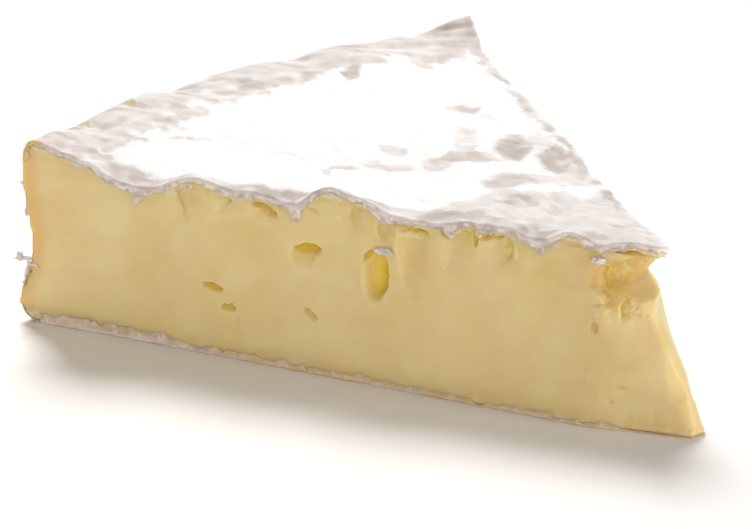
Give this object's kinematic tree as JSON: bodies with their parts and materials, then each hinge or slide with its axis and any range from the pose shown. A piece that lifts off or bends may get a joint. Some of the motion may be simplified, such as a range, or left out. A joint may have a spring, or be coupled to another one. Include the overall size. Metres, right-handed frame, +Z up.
{
  "type": "brie wedge",
  "caption": "Wedge of soft white-rinded cheese cut from a round wheel, with a raised rim, dented top rind, slumped cut faces and small gas holes.",
  "frame": {"origin": "middle of the bounding box at the level of the base, so the wedge stands on z = 0", "axes": "+X towards the point of the wedge, -X towards the curved outside of the wheel, -Y the side of the front cut, +Z up"},
  "size_m": [0.1212, 0.1024, 0.0336],
  "materials": {
    "soft_cheese": "pale cream-yellow ripe paste, moist and softly shining, darker in the gas holes",
    "bloomy_rind": "white felted mould rind, matt, with faint grey-beige wrinkles"
  },
  "bodies": {
    "root": {"brie_wedge": "soft_cheese"}
  },
  "joints": []
}
